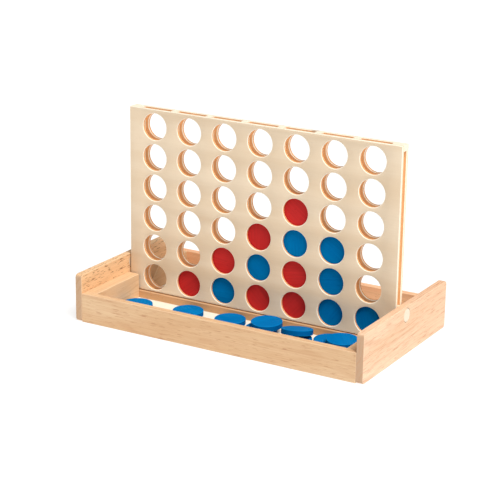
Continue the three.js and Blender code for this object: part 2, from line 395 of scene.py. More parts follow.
@dataclass(frozen=True)
class WoodFinish:
    """A lacquered wood: its colours, its grain and the way it takes the light."""

    name: str
    slot: str
    pale: Colour
    warm: Colour
    line: Colour
    fleck: Colour
    cut: Colour
    # The colour painted on the round arris, on most pieces a paler painted highlight
    arris: Colour
    # The shade painted on bore walls and slot faces
    bore: Colour = (0.0, 0.0, 0.0)
    grain: Axis = Axis.ACROSS
    shift: Point = (0.0, 0.0, 0.0)
    place: Place = Place.OBJECT
    line_pitch: float = 5 * MM
    line_share: float = 0.35
    fibre_share: float = 0.3
    fleck_length: float = 3 * MM
    fleck_cover: float = 0.3
    fleck_share: float = 0.6
    arris_share: float = 0.25
    roughness: float = 0.5
    relief: float = 0.12
    shine: float = 0.35
    arc_share: float = 0.0
    knot: Point = (0.0, 0.0, 0.0)
    knot_radius: float = 0.0
    sheet_layers: float = 0.0
    layer_start: float = 0.0
    layer_colour: Colour = (0.0, 0.0, 0.0)

    def material(self) -> bpy.types.Material:
        """The finish as a material, made once.

        Returns:
            The material.
        """
        if self.name in bpy.data.materials:
            return bpy.data.materials[self.name]
        material = bpy.data.materials.new(self.name)
        material.use_nodes = True
        material.node_tree.nodes.clear()
        graph = Graph(material.node_tree)
        place, vector = self._coordinates(graph)

        grain = graph.add("ShaderNodeGroup", node_tree=timber_grain_group())
        for socket, value in (("Vector", vector), ("Line Pitch", self.line_pitch),
                              ("Fleck Length", self.fleck_length), ("Fleck Cover", self.fleck_cover)):
            graph.put(grain.inputs[socket], value)
        edges = graph.add("ShaderNodeGroup", node_tree=end_grain_shade_and_highlight_group())
        graph.put(edges.inputs["Vector"], vector)
        hands = graph.add("ShaderNodeGroup", node_tree=handling_group())
        graph.put(hands.inputs["Vector"], vector)

        colour = graph.mix(grain.outputs["Figure"], self.pale, self.warm)
        overlays = (
            ("Lines", self.line_share, self.line),
            ("Fibre", self.fibre_share, self.line),
            ("Flecks", self.fleck_share, self.fleck),
        )
        for output, share, over in overlays:
            colour = graph.mix(graph.math("MULTIPLY", grain.outputs[output], share), colour, over)
        colour = self._cut_faces(graph, place, colour, edges.outputs["Cut"], grain)
        # Painted shade on bore walls and slot faces, faintly varied by the figure
        painted_shade_colour = graph.mix(graph.math("MULTIPLY", grain.outputs["Figure"], 0.12), self.bore, self.line)
        colour = graph.mix(edges.outputs["Painted Shade"], colour, painted_shade_colour)
        # Painted highlight along the round arris
        arris = graph.math("MULTIPLY", edges.outputs["Arris Highlight"], self.arris_share)
        colour = graph.mix(arris, colour, self.arris)
        if self.knot_radius:
            away = graph.add("ShaderNodeVectorMath", operation="DISTANCE")
            graph.put(away.inputs[0], place)
            graph.put(away.inputs[1], self.knot)
            near = graph.window(away.outputs["Value"], self.knot_radius, self.knot_radius * 0.5)
            colour = graph.mix(graph.math("MULTIPLY", near, 0.75), colour, KNOT_GREY)

        rough = graph.math("ADD", self.roughness, graph.math("MULTIPLY", grain.outputs["Fibre"], 0.08))
        rough = graph.math("ADD", rough, graph.math("MULTIPLY", hands.outputs["Cloud"], 0.1))
        rough = graph.math("SUBTRACT", rough, graph.math("MULTIPLY", arris, 0.06))

        bump = graph.add("ShaderNodeBump", {"Strength": self.relief, "Distance": 0.25 * MM})
        graph.put(bump.inputs["Height"], grain.outputs["Height"])
        shader = graph.add("ShaderNodeBsdfPrincipled", {"Specular IOR Level": self.shine})
        inputs = {"Base Color": colour, "Roughness": rough, "Normal": bump.outputs["Normal"]}
        for socket, value in inputs.items():
            graph.put(shader.inputs[socket], value)
        end = graph.add("ShaderNodeOutputMaterial")
        graph.put(end.inputs["Surface"], shader.outputs["BSDF"])
        return material

    def _coordinates(self, graph: Graph) -> tuple[bpy.types.NodeSocket, bpy.types.NodeSocket]:
        """Where the wood pattern is read.

        Args:
            graph: The material's graph.

        Returns:
            The plain place, and the place with X along the grain.
        """
        if self.place is Place.PIECE:
            read = graph.add("ShaderNodeAttribute", attribute_type="GEOMETRY", attribute_name=GRAIN)
            return read.outputs["Vector"], read.outputs["Vector"]
        plain = graph.add("ShaderNodeTexCoord").outputs["Object"]
        turned = graph.add("ShaderNodeMapping", vector_type="POINT")
        graph.put(turned.inputs["Vector"], plain)
        turned.inputs["Rotation"].default_value = self.grain.turn()
        turned.inputs["Location"].default_value = self.shift
        return plain, turned.outputs["Vector"]

    def _cut_faces(self, graph: Graph, place: Value, under: Value, cut: Value,
                   grain: bpy.types.Node) -> bpy.types.NodeSocket:
        """Lays the colour of the faces that were cut across the grain over the rest.

        Args:
            graph: The material's graph.
            place: The plain place on the piece.
            under: The colour so far.
            cut: How much a face is cut across.
            grain: The grain, whose fibres show as dots in end grain and whose growth lines as arcs.

        Returns:
            The colour's socket.
        """
        dots = graph.math("MULTIPLY", grain.outputs["Fibre"], 0.35)
        arcs = graph.math("MULTIPLY", grain.outputs["Lines"], self.arc_share)
        shown = graph.mix(arcs, graph.mix(dots, self.cut, self.line), self.line)
        if self.sheet_layers:
            depth = graph.add("ShaderNodeSeparateXYZ", {"Vector": place}).outputs["Y"]
            steps = graph.math("MULTIPLY", graph.math("SUBTRACT", depth, self.layer_start), self.sheet_layers)
            wave = graph.math("SINE", graph.math("MULTIPLY", steps, 2 * math.pi))
            share = graph.math("MULTIPLY", graph.window(wave, -0.2, 0.5), 0.5)
            shown = graph.mix(share, shown, self.layer_colour)
        return graph.mix(cut, under, shown)


@dataclass(frozen=True)
class StudioFloorFinish:
    """A plain white floor that glows, as a light table does."""

    name: str = "studio_paper"
    colour: Colour = (0.3, 0.3, 0.3)
    glow: float = 0.76
    roughness: float = 0.9

    def material(self) -> bpy.types.Material:
        """The floor's material."""
        material = bpy.data.materials.new(self.name)
        material.use_nodes = True
        shader = material.node_tree.nodes["Principled BSDF"]
        shader.inputs["Base Color"].default_value = (*self.colour, 1.0)
        shader.inputs["Roughness"].default_value = self.roughness
        shader.inputs["Specular IOR Level"].default_value = 0.1
        shader.inputs["Emission Color"].default_value = (1.0, 1.0, 1.0, 1.0)
        shader.inputs["Emission Strength"].default_value = self.glow
        return material


BEECH_PALE = tint(236, 202, 160)
BEECH_WARM = tint(224, 184, 139)
BEECH_LINE = tint(190, 142, 96)
BEECH_FLECK = tint(150, 100, 62)
BEECH_END = tint(202, 168, 136)
# A paler painted highlight along the round arris of the beech
BEECH_ARRIS_HIGHLIGHT = tint(250, 226, 192)
BORE_SHADE = tint(84, 52, 30)
KNOT_GREY = tint(196, 170, 144)


def beech(name: str, grain: Axis, shift: Point, **changes: Value) -> WoodFinish:
    """A board's beech, with its own place in the tree.

    Args:
        name: The finish's name.
        grain: The way the grain runs.
        shift: Where in the tree the board was cut.
        changes: What differs from the other boards.

    Returns:
        The finish.
    """
    usual = dict(pale=BEECH_PALE, warm=BEECH_WARM, line=BEECH_LINE, fleck=BEECH_FLECK, cut=BEECH_END,
                 arris=BEECH_ARRIS_HIGHLIGHT, bore=BORE_SHADE, arc_share=0.5)
    return WoodFinish(name=name, slot="beech", grain=grain, shift=shift, **{**usual, **changes})


# --- Mesh helpers -----------------------------------------------------------------------------------------


@dataclass
class Easing:
    """How far an arris is sanded round, and in how many steps."""

    width: float
    steps: int = 3
    angle: float = math.radians(40)


def link(obj: bpy.types.Object) -> bpy.types.Object:
    """Puts an object in the scene."""
    bpy.context.scene.collection.objects.link(obj)
    return obj


def evaluated_mesh(obj: bpy.types.Object) -> bpy.types.Mesh:
    """The plain mesh that an object's modifiers leave.

    Args:
        obj: An object in the scene.

    Returns:
        A new mesh that stands alone.
    """
    bpy.context.view_layer.update()
    depsgraph = bpy.context.evaluated_depsgraph_get()
    return bpy.data.meshes.new_from_object(
        obj.evaluated_get(depsgraph), preserve_all_data_layers=True, depsgraph=depsgraph
    )


def eased_mesh(raw: bpy.types.Mesh, easing: Easing, material: bpy.types.Material) -> bpy.types.Mesh:
    """Rounds every arris of a mesh and notes where it did.

    Args:
        raw: The sharp mesh, which is used up.
        easing: How far the arrises are rounded.
        material: The finish of every face.

    Returns:
        The finished mesh.
    """
    raw.materials.clear()
    raw.materials.append(material)
    raw.materials.append(material)
    raw.polygons.foreach_set("use_smooth", [True] * len(raw.polygons))
    worker = link(bpy.data.objects.new("worker", raw))
    bevel = worker.modifiers.new("ease", "BEVEL")
    bevel.width = easing.width
    bevel.segments = easing.steps
    bevel.limit_method = "ANGLE"
    bevel.angle_limit = easing.angle
    bevel.material = 1
    bevel.use_clamp_overlap = True
    weigh = worker.modifiers.new("weigh", "WEIGHTED_NORMAL")
    weigh.weight = 100
    made = evaluated_mesh(worker)
    bpy.data.objects.remove(worker)
    bpy.data.meshes.remove(raw)

    eased = made.attributes.new(EASED, "FLOAT", "FACE")
    eased.data.foreach_set("value", [float(face.material_index) for face in made.polygons])
    made.polygons.foreach_set("material_index", [0] * len(made.polygons))
    made.materials.pop(index=1)
    return made


def mark_cut(mesh: bpy.types.Mesh, share: Callable[[Vector], float]) -> None:
    """Notes on each face how much it is cut across the wood.

    Args:
        mesh: The mesh to note it on.
        share: Gives 0 to 1 from a face's normal.
    """
    noted = mesh.attributes.new(CUT, "FLOAT", "FACE")
    noted.data.foreach_set("value", [share(face.normal) for face in mesh.polygons])


def face_outwards(mesh: bpy.types.Mesh) -> bpy.types.Mesh:
    """Turns every face of a closed mesh outwards.

    Args:
        mesh: The mesh, which is changed.

    Returns:
        The same mesh.
    """
    build = bmesh.new()
    build.from_mesh(mesh)
    bmesh.ops.recalc_face_normals(build, faces=build.faces)
    build.to_mesh(mesh)
    build.free()
    return mesh


def mesh_of(name: str, build: bmesh.types.BMesh) -> bpy.types.Mesh:
    """A mesh from finished bmesh work, with its faces turned outwards.

    Args:
        name: The mesh's name.
        build: The work, which is freed.

    Returns:
        The mesh.
    """
    bmesh.ops.recalc_face_normals(build, faces=build.faces)
    mesh = bpy.data.meshes.new(name)
    build.to_mesh(mesh)
    build.free()
    return mesh


def plate(name: str, rings: Sequence[Sequence[tuple[float, float]]], start: float, end: float,
          seat: Callable[[float, float, float], Point]) -> bpy.types.Mesh:
    """A flat plate from an outline and any holes in it.

    Args:
        name: The mesh's name.
        rings: The outline and then the holes, each as points in the plate's own plane.
        start: Where the plate's thickness starts.
        end: Where it ends.
        seat: Turns a point of the plane and a depth into a place.

    Returns:
        The closed mesh.
    """
    flat = [Vector((u, v, 0.0)) for ring in rings for u, v in ring]
    faces = tessellate_polygon([[Vector((u, v, 0.0)) for u, v in ring] for ring in rings])
    build = bmesh.new()
    layers = [[build.verts.new(seat(p.x, p.y, depth)) for p in flat] for depth in (start, end)]
    for layer in layers:
        for face in faces:
            build.faces.new([layer[i] for i in face])
    first = 0
    for ring in rings:
        count = len(ring)
        for i in range(count):
            a, b = first + i, first + (i + 1) % count
            build.faces.new((layers[0][a], layers[0][b], layers[1][b], layers[1][a]))
        first += count
    bmesh.ops.recalc_face_normals(build, faces=build.faces)
    bmesh.ops.dissolve_limit(build, angle_limit=math.radians(0.5), verts=build.verts, edges=build.edges)
    return mesh_of(name, build)


def round_outline(width: tuple[float, float], height: tuple[float, float], radius: float,
                  steps: int) -> list[tuple[float, float]]:
    """A rectangle with round corners.

    Args:
        width: Its lowest and highest place across.
        height: Its lowest and highest place up.
        radius: The corners' radius.
        steps: Sides to each corner.

    Returns:
        Its points, once round.
    """
    middles = (
        (width[1] - radius, height[0] + radius, -90), (width[1] - radius, height[1] - radius, 0),
        (width[0] + radius, height[1] - radius, 90), (width[0] + radius, height[0] + radius, 180),
    )
    points = []
    for x, y, start in middles:
        for i in range(steps + 1):
            angle = math.radians(start + 90 * i / steps)
            points.append((x + radius * math.cos(angle), y + radius * math.sin(angle)))
    return points


def circle(x: float, y: float, radius: float, sides: int) -> list[tuple[float, float]]:
    """The points of a circle, once round.

    Args:
        x: Its middle across.
        y: Its middle up.
        radius: Its radius.
        sides: Its number of sides.

    Returns:
        The points.
    """
    turn = 2 * math.pi / sides
    return [(x + radius * math.cos(i * turn), y + radius * math.sin(i * turn)) for i in range(sides)]


def board_mesh(name: str, box: Box) -> bpy.types.Mesh:
    """A sawn board that fills a box.

    Args:
        name: The mesh's name.
        box: Its lowest and highest corner.

    Returns:
        The sharp mesh.
    """
    low, high = box
    outline = [(low.x, low.z), (high.x, low.z), (high.x, high.z), (low.x, high.z)]
    return plate(name, [outline], low.y, high.y, lambda u, v, depth: (u, depth, v))


def dress(name: str, mesh: bpy.types.Mesh, body: str, nodes: Sequence[str], slot: str) -> bpy.types.Object:
    """Puts a finished mesh in the scene in the place of its parts of the frame.

    Args:
        name: The piece's name.
        mesh: Its mesh.
        body: The body that it moves with.
        nodes: The frame's nodes that it stands for.
        slot: The record's slot that its finish comes from; not used.

    Returns:
        The piece.
    """
    mesh.name = name
    piece = link(bpy.data.objects.new(name, mesh))
    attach(piece, body)
    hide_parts(*nodes)
    LOG.info("%s: %d faces on %s", name, len(mesh.polygons), body)
    return piece


# --- Geometry Nodes ---------------------------------------------------------------------------------------


@dataclass
class Pattern:
    """A Geometry Nodes tree with named inputs."""

    name: str
    tree: bpy.types.NodeTree = field(init=False)
    graph: Graph = field(init=False)
    given: bpy.types.Node = field(init=False)

    def __post_init__(self) -> None:
        """Makes the empty tree."""
        self.tree = bpy.data.node_groups.new(self.name, "GeometryNodeTree")
        self.tree.interface.new_socket(name="Geometry", in_out="OUTPUT", socket_type="NodeSocketGeometry")
        self.graph = Graph(self.tree)

    def take(self, sockets: dict[str, str]) -> None:
        """Adds the tree's inputs.

        Args:
            sockets: The kind of each input, by name.
        """
        for name, kind in sockets.items():
            self.tree.interface.new_socket(name=name, in_out="INPUT", socket_type=f"NodeSocket{kind}")
        self.given = self.graph.add("NodeGroupInput")

    def close(self, geometry: bpy.types.NodeSocket) -> None:
        """Ends the tree: everything is made real and takes the finish.

        Args:
            geometry: What the tree has made.
        """
        real = self.graph.add("GeometryNodeRealizeInstances", {"Geometry": geometry})
        dressed = self.graph.add("GeometryNodeSetMaterial", {"Geometry": real.outputs[0]})
        self.graph.put(dressed.inputs["Material"], self.given.outputs["Material"])
        end = self.graph.add("NodeGroupOutput")
        self.graph.put(end.inputs["Geometry"], dressed.outputs[0])

    def make(self, values: dict[str, Value]) -> bpy.types.Mesh:
        """The plain mesh that the tree gives for some sizes.

        Args:
            values: A value for each named input.

        Returns:
            The mesh.
        """
        worker = bpy.data.objects.new("worker", bpy.data.meshes.new("worker"))
        modifier = worker.modifiers.new(self.name, "NODES")
        modifier.node_group = self.tree
        for item in self.tree.interface.items_tree:
            if item.item_type == "SOCKET" and item.in_out == "INPUT":
                modifier[item.identifier] = values[item.name]
        link(worker)
        made = evaluated_mesh(worker)
        worker.modifiers.remove(modifier)
        spare = worker.data
        bpy.data.objects.remove(worker)
        bpy.data.meshes.remove(spare)
        return face_outwards(made)


def perforated_sheet() -> Pattern:
    """A standing sheet with round holes on a grid.

    Returns:
        The pattern. Its sheet stands in X and Z, with its thickness towards the back.
    """
    pattern = Pattern("perforated_sheet")
    pattern.take({
        "Width": "Float", "Height": "Float", "Thickness": "Float", "Middle": "Vector", "Columns": "Int",
        "Rows": "Int", "Row Length": "Float", "Column Length": "Float", "Grid Middle": "Vector",
        "Hole Radius": "Float", "Hole Sides": "Int", "Back Face": "Vector", "Material": "Material",
    })
    graph, given = pattern.graph, pattern.given.outputs
    edge = graph.add("GeometryNodeCurvePrimitiveQuadrilateral", {
        "Width": given["Width"], "Height": given["Height"],
    })
    placed = graph.add("GeometryNodeTransform", {"Geometry": edge.outputs[0], "Translation": given["Middle"]})
    grid = graph.add("GeometryNodeMeshGrid", {
        "Size X": given["Row Length"], "Size Y": given["Column Length"],
        "Vertices X": given["Columns"], "Vertices Y": given["Rows"],
    })
    spots = graph.add("GeometryNodeTransform", {
        "Geometry": grid.outputs[0], "Translation": given["Grid Middle"],
    })
    hole = graph.add("GeometryNodeCurvePrimitiveCircle", {
        "Resolution": given["Hole Sides"], "Radius": given["Hole Radius"],
    })
    holes = graph.add("GeometryNodeInstanceOnPoints", {
        "Points": spots.outputs[0], "Instance": hole.outputs[0],
    })
    bored = graph.add("GeometryNodeRealizeInstances", {"Geometry": holes.outputs[0]})
    lines = graph.add("GeometryNodeJoinGeometry")
    graph.tree.links.new(placed.outputs[0], lines.inputs[0])
    graph.tree.links.new(bored.outputs[0], lines.inputs[0])
    sheet = graph.add("GeometryNodeFillCurve", {"Curve": lines.outputs[0]}, mode="TRIANGLES")
    rise = graph.add("ShaderNodeCombineXYZ", {"Z": given["Thickness"]})
    raised = graph.add("GeometryNodeExtrudeMesh", {
        "Mesh": sheet.outputs[0], "Offset": rise.outputs[0], "Offset Scale": 1.0, "Individual": False,
    }, mode="FACES")
    under = graph.add("GeometryNodeFlipFaces", {"Mesh": sheet.outputs[0]})
    whole = graph.add("GeometryNodeJoinGeometry")
    graph.tree.links.new(raised.outputs[0], whole.inputs[0])
    graph.tree.links.new(under.outputs[0], whole.inputs[0])
    sealed = graph.add("GeometryNodeMergeByDistance", {"Geometry": whole.outputs[0], "Distance": 0.001 * MM})
    upright = graph.add("GeometryNodeTransform", {
        "Geometry": sealed.outputs[0], "Rotation": (math.pi / 2, 0.0, 0.0), "Translation": given["Back Face"],
    })
    pattern.close(upright.outputs[0])
    return pattern


def turned_disc() -> Pattern:
    """A plain round disc, laid, tilted and placed by its inputs.

    Returns:
        The pattern.
    """
    pattern = Pattern("turned_disc")
    pattern.take({
        "Radius": "Float", "Thickness": "Float", "Sides": "Int", "Lean": "Rotation", "Middle": "Vector",
        "Material": "Material",
    })
    graph, given = pattern.graph, pattern.given.outputs
    blank = graph.add("GeometryNodeMeshCylinder", {
        "Vertices": given["Sides"], "Radius": given["Radius"], "Depth": given["Thickness"],
    }, fill_type="NGON")
    placed = graph.add("GeometryNodeTransform", {
        "Geometry": blank.outputs["Mesh"], "Translation": given["Middle"], "Rotation": given["Lean"],
    })
    pattern.close(placed.outputs[0])
    return pattern


# --- Sub-assemblies ---------------------------------------------------------------------------------------


@dataclass
class Tray:
    """The tray: two cheeks, two long walls, a floor, a beam under the board and four rails beside it."""

    corner_radius: float = 3.5 * MM
    corner_steps: int = 8
    bore_sides: int = 48
    bore_diameter: float = 13.4 * MM
    bore_margin: float = 0.1 * MM
    axis_height: float = PEG_AXIS_HEIGHT
    rail_slope: float = 21 * MM
    rail_nose: float = 3.5 * MM
    easing: Easing = field(default_factory=lambda: Easing(0.7 * MM))
    fine_easing: Easing = field(default_factory=lambda: Easing(0.5 * MM, 2))

    def cheeks(self) -> None:
        """Makes the two ends, with round corners and a bore for the peg."""
        finishes = {
            "left_cheek": beech("beech_left_cheek", Axis.BACK, (0.31, 0.12, 0.07), fleck_length=6 * MM,
                                fleck_cover=0.6, fleck_share=0.85, fleck=tint(130, 80, 44),
                                pale=tint(242, 200, 154), warm=tint(232, 184, 134)),
            "right_cheek": beech("beech_right_cheek", Axis.BACK, (0.83, 0.44, 0.27), fleck_length=12 * MM,
                                 fleck_cover=0.62, fleck_share=0.55, fleck=tint(188, 122, 84),
                                 fibre_share=0.4,
                                 line_pitch=4 * MM, line_share=0.5, line=tint(204, 148, 108),
                                 pale=tint(250, 212, 178), warm=tint(240, 196, 158)),
        }
        for node, finish in finishes.items():
            low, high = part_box(node)
            outline = round_outline((low.y, high.y), (low.z, high.z), self.corner_radius, self.corner_steps)
            bore = circle(0.0, self.axis_height, self.bore_diameter / 2, self.bore_sides)
            raw = plate(node, [outline, bore], low.x, high.x, lambda u, v, depth: (depth, u, v))
            piece = self._finish(f"tray_{node}", node, raw, finish, self.easing)
            self._mark_bore(piece.data)

    def _mark_bore(self, mesh: bpy.types.Mesh) -> None:
        """Notes the wall of a cheek's bore, where dark shade is painted.

        Args:
            mesh: The cheek's mesh.
        """
        axis = Vector((0.0, self.axis_height))
        reach = self.bore_diameter / 2 + self.bore_margin

        def share(face: bpy.types.MeshPolygon) -> float:
            """1 on the bore's wall and 0 elsewhere."""
            return float(abs(face.normal.x) < 0.2 and (face.center.yz - axis).length < reach)

        noted = mesh.attributes.new(PAINTED_SHADE, "FLOAT", "FACE")
        noted.data.foreach_set("value", [share(face) for face in mesh.polygons])

    def walls(self) -> None:
        """Makes the long walls at the front and back."""
        finishes = {
            "front_wall": beech("beech_front_wall", Axis.ACROSS, (0.0, 0.2, 0.11), fleck_length=9 * MM,
                                fleck_cover=0.56, fleck_share=0.45, fleck=tint(176, 108, 72),
                                fibre_share=0.42,
                                line=tint(196, 138, 96)),
            # The back wall's beech is brighter and more orange than the rest: painted warm light on a face
            # that lies in shade behind the board
            "back_wall": beech("beech_back_wall", Axis.ACROSS, (0.52, 0.33, 0.61), fleck_length=6 * MM,
                               fleck_cover=0.4, fleck_share=0.5, pale=tint(255, 206, 164),
                               warm=tint(255, 188, 142)),
        }
        for node, finish in finishes.items():
            self._finish(f"tray_{node}", node, board_mesh(node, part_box(node)), finish, self.easing)

    def floor(self) -> None:
        """Makes the plywood floor and the beam that the board stands on."""
        floor = WoodFinish(
            "floor_plywood", "floor_plywood", pale=tint(247, 233, 208), warm=tint(240, 220, 188),
            line=tint(214, 182, 138),
            fleck=tint(190, 150, 108), cut=tint(222, 190, 148), arris=tint(250, 236, 212), line_pitch=14 * MM,
            line_share=0.2, fibre_share=0.2, fleck_share=0.25, fleck_cover=0.2, roughness=0.55,
        )
        panel = board_mesh("floor_panel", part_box("floor_panel"))
        self._finish("tray_floor_panel", "floor_panel", panel, floor, self.fine_easing)
        beam = beech("beech_beam", Axis.ACROSS, (0.7, 0.5, 0.4), pale=tint(214, 166, 120),
                     warm=tint(200, 148, 102))
        bar = board_mesh("centre_beam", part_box("centre_beam"))
        self._finish("tray_centre_beam", "centre_beam", bar, beam, self.fine_easing)

    def rails(self) -> None:
        """Makes the four rails that stand against the cheeks on either side of the board's foot."""
        for i, node in enumerate(("front_rail_left", "front_rail_right", "rear_rail_left",
                                  "rear_rail_right")):
            finish = beech(f"beech_{node}", Axis.BACK, (0.2 * i, 0.17 + 0.31 * i, 0.05), fleck_length=5 * MM,
                           fleck_cover=0.25, fleck_share=0.4, line_pitch=3 * MM, line_share=0.35,
                           pale=tint(232, 198, 158), warm=tint(222, 182, 138))
            raw = self._rear_rail(node) if node.startswith("rear") else board_mesh(node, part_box(node))
            self._finish(f"tray_{node}", node, raw, finish, self.easing)

    def _rear_rail(self, node: str) -> bpy.types.Mesh:
        """A rear rail, which slopes down to a low nose so that the board's foot can swing over it.

        Args:
            node: The frame's node that it stands for.

        Returns:
            The sharp mesh.
        """
        low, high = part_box(node)
        outline = [
            (low.y, low.z), (high.y, low.z), (high.y, high.z), (low.y + self.rail_slope, high.z),
            (low.y, low.z + self.rail_nose),
        ]
        return plate(node, [outline], low.x, high.x, lambda u, v, depth: (depth, u, v))

    def _finish(self, name: str, node: str, raw: bpy.types.Mesh, finish: WoodFinish,
                easing: Easing) -> bpy.types.Object:
        """Eases a board, notes its end grain and puts it in the tray.

        Args:
            name: The piece's name.
            node: The frame's node that it stands for.
            raw: The sharp mesh.
            finish: Its wood.
            easing: How far its arrises are rounded.

        Returns:
            The piece.
        """
        mesh = eased_mesh(raw, easing, finish.material())
        along = finish.grain.vector()
        mark_cut(mesh, lambda normal: abs(normal.dot(along)))
        return dress(name, mesh, "tray", [node], finish.slot)

    def build(self) -> None:
        """Makes the whole tray."""
        self.cheeks()
        self.walls()
        self.floor()
        self.rails()


@dataclass
class Pegs:
    """The two pegs that carry the board.

    Each has a round shank in its cheek and a flat tongue in the board's groove.
    """

    axis_height: float = PEG_AXIS_HEIGHT
    shank_diameter: float = 12.6 * MM
    tongue_thickness: float = 5.4 * MM
    tongue_length: float = 14.4 * MM
    # The tongue ends 0.8 mm inside the cheek's inner face, which is too far; a reach of 4.9 mm would clear it
    tongue_reach: float = 6.0 * MM
    shank_overlap: float = 0.3 * MM
    sides: int = 64
    easing: Easing = field(default_factory=lambda: Easing(0.4 * MM, 3))

    def build(self) -> None:
        """Makes both pegs."""
        finish = WoodFinish(
            "peg_wood", "dowel", pale=tint(246, 226, 198), warm=tint(238, 212, 178), line=tint(206, 168, 124),
            fleck=tint(176, 132, 92), cut=tint(240, 224, 202), arris=tint(236, 216, 190), line_pitch=2.2 * MM,
            line_share=0.35, fibre_share=0.35, fleck_share=0.35, fleck_cover=0.3, roughness=0.6,
        )
        for node in ("left_peg", "right_peg"):
            low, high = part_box(node)
            side = 1.0 if high.x > 0 else -1.0
            outer, inner = max(abs(low.x), abs(high.x)), min(abs(low.x), abs(high.x))
            mesh = eased_mesh(self._blank(node, side, inner, outer), self.easing, finish.material())
            mark_cut(mesh, lambda normal: abs(normal.x))
            dress(f"peg_{'right' if side > 0 else 'left'}", mesh, "pegs", [node], finish.slot)

    def _blank(self, name: str, side: float, inner: float, outer: float) -> bpy.types.Mesh:
        """A peg's sharp mesh: the tongue and the shank, joined into one solid.

        Args:
            name: The mesh's name.
            side: 1 for the right-hand peg and -1 for the left-hand one.
            inner: How far from the middle the tongue starts.
            outer: How far from the middle the shank ends.

        Returns:
            The closed mesh.
        """
        shoulder = inner + self.tongue_reach
        half, reach = self.tongue_thickness / 2, self.tongue_length / 2
        tongue = self._solid([(half, -reach), (half, reach), (-half, reach), (-half, -reach)], side, inner,
                             shoulder)
        shank = self._solid(circle(0, 0, self.shank_diameter / 2, self.sides), side,
                            shoulder - self.shank_overlap, outer)
        worker = link(bpy.data.objects.new("worker", shank))
        tool = link(bpy.data.objects.new("tool", tongue))
        union = worker.modifiers.new("union", "BOOLEAN")
        union.operation = "UNION"
        union.solver = "EXACT"
        union.object = tool
        made = evaluated_mesh(worker)
        for obj in (worker, tool):
            bpy.data.objects.remove(obj)
        for mesh in (shank, tongue):
            bpy.data.meshes.remove(mesh)
        made.name = name
        return made

    def _solid(self, outline: Sequence[tuple[float, float]], side: float, inner: float,
               outer: float) -> bpy.types.Mesh:
        """An outline in Y and Z round the pegs' axis, given its length along X.

        Args:
            outline: The outline's points.
            side: 1 for the right-hand peg and -1 for the left-hand one.
            inner: How far from the middle it starts.
            outer: How far from the middle it ends.

        Returns:
            The closed mesh.
        """
        return plate("blank", [outline], side * inner, side * outer,
                     lambda u, v, depth: (depth, u, self.axis_height + v))


